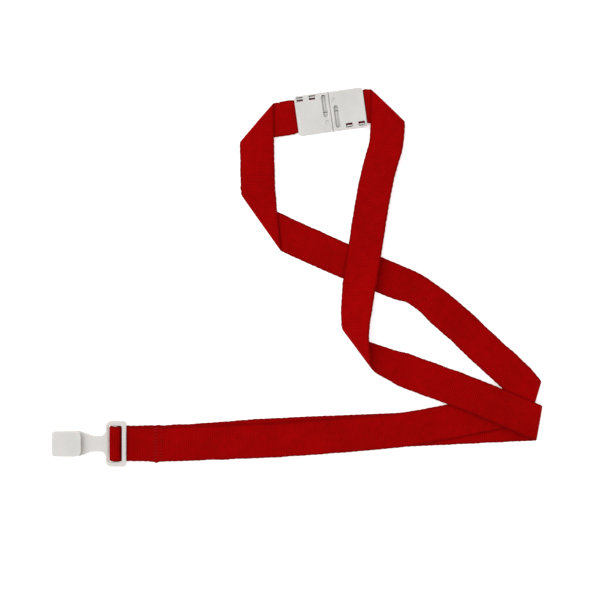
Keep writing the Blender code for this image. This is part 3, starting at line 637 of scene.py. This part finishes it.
def build_stitches(material):
    """Two rows across the strip on each face: long stitches near the hook and short ones beside them."""
    random.seed(SEED)
    for name, node, face in (("seam_stitches_upper", "seam_needle_thread", 1),
                             ("seam_stitches_lower", "seam_bobbin_thread", -1)):
        low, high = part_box(node)
        z = low.z - 0.12 * MM if face > 0 else high.z + 0.12 * MM
        bm = bmesh.new()
        count = int(2 * SEAM_HALF / STITCH_PITCH) + 1
        for i in range(count):
            y = SEAM_Y - SEAM_HALF + i * STITCH_PITCH
            for (x0, x1), radius in ((LONG_STITCH, 0.3 * MM), (SHORT_STITCH, 0.32 * MM)):
                jog = random.uniform(-0.12, 0.12) * MM
                lean = random.uniform(-0.1, 0.1) * MM
                add_stitch(bm, x0 + jog, x1 + lean, y + jog, z, radius, face * 0.16 * MM)
        bmesh.ops.recalc_face_normals(bm, faces=bm.faces)
        mesh = bpy.data.meshes.new(name)
        bm.to_mesh(mesh)
        bm.free()
        stitches = bpy.data.objects.new(name, mesh)
        bpy.context.collection.objects.link(stitches)
        stitches.data.materials.append(material)
        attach(stitches, "strap")
        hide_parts(node)


# Plastic parts: the CAD shapes with moulded edges

def close_seam(bm, sign):
    """Bring the face of a buckle half that meets the other nearly up to it, for a fine seam."""
    axis = Vector((math.cos(BUCKLE_TURN), math.sin(BUCKLE_TURN), 0.0))
    centre = Vector((BUCKLE_CENTRE[0] * MM, BUCKLE_CENTRE[1] * MM, 0.0))
    for vert in bm.verts:
        if abs((vert.co - centre).dot(axis) - sign * SEAM_GAP_HALF) < 0.02 * MM:
            vert.co -= axis * (sign * SEAM_CLOSE)


def moulded(node, body, material, width, seam=0):
    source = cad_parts[node]
    bm = bmesh.new()
    bm.from_mesh(source.data)
    bmesh.ops.remove_doubles(bm, verts=bm.verts, dist=2e-6)
    bmesh.ops.dissolve_limit(bm, angle_limit=math.radians(1.5), verts=bm.verts, edges=bm.edges)
    if seam:
        close_seam(bm, seam)
    for face in bm.faces:
        face.smooth = True
    mesh = bpy.data.meshes.new(f"{node}_moulded")
    bm.to_mesh(mesh)
    bm.free()
    made = bpy.data.objects.new(f"{node}_moulded", mesh)
    bpy.context.collection.objects.link(made)
    made.data.materials.clear()
    made.data.materials.append(material)
    bevel = made.modifiers.new("moulded_edges", "BEVEL")
    bevel.width = width
    bevel.segments = BEVEL_STEPS
    bevel.limit_method = "ANGLE"
    bevel.angle_limit = math.radians(32)
    bevel.miter_outer = "MITER_ARC"
    bevel.harden_normals = True
    weighted = made.modifiers.new("flat_faces", "WEIGHTED_NORMAL")
    weighted.keep_sharp = True
    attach(made, body)
    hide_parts(node)


# Table, light and camera

def build_stage():
    bm = bmesh.new()
    bmesh.ops.create_grid(bm, x_segments=1, y_segments=1, size=TABLE_HALF)
    mesh = bpy.data.meshes.new("table")
    bm.to_mesh(mesh)
    bm.free()
    table = bpy.data.objects.new("table", mesh)
    bpy.context.collection.objects.link(table)
    table.location = (0.0, 0.0, min(0.0, cad_low.z) - TABLE_DROP)
    table.data.materials.append(floor_material())

    world = bpy.data.worlds.new("studio")
    bpy.context.scene.world = world
    world.use_nodes = True
    world.node_tree.nodes["Background"].inputs["Color"].default_value = (1.0, 1.0, 1.0, 1.0)
    world.node_tree.nodes["Background"].inputs["Strength"].default_value = 0.62

    for name, place, power, size in LIGHTS:
        light = bpy.data.lights.new(name, "AREA")
        light.energy = power
        light.size = size
        lamp = bpy.data.objects.new(name, light)
        bpy.context.collection.objects.link(lamp)
        lamp.location = place
        lamp.rotation_euler = (-Vector(place)).to_track_quat("-Z", "Y").to_euler()


def build_camera():
    camera = bpy.data.cameras.new("camera")
    camera.lens = 100.0
    camera.sensor_width = 36.0
    camera.clip_start = 0.01
    rig = bpy.data.objects.new("camera", camera)
    bpy.context.collection.objects.link(rig)
    middle = (cad_low + cad_high) / 2
    rig.location = (middle.x + CAMERA_ASIDE[0], middle.y + CAMERA_ASIDE[1], CAMERA_HEIGHT)
    rig.rotation_euler = (0.0, 0.0, 0.0)
    bpy.context.scene.camera = rig
    bpy.context.scene.view_settings.view_transform = "Standard"


def main():
    build_camera()
    build_stage()
    build_webbing(webbing_material())
    build_stitches(thread_material())
    white = plastic_material("white_polypropylene", (0.655, 0.640, 0.615), 0.42, 0.02 * MM)
    for half in ("left", "right"):
        body = "strap" if half == "left" else "right_half"
        moulded(f"buckle_housing_{half}", body, white, 0.1 * MM, seam=-1 if half == "left" else 1)
        moulded(f"clamp_cover_{half}", f"{half}_cover", white, 0.06 * MM)
    moulded("hook", "hook", white, 0.3 * MM)


main()
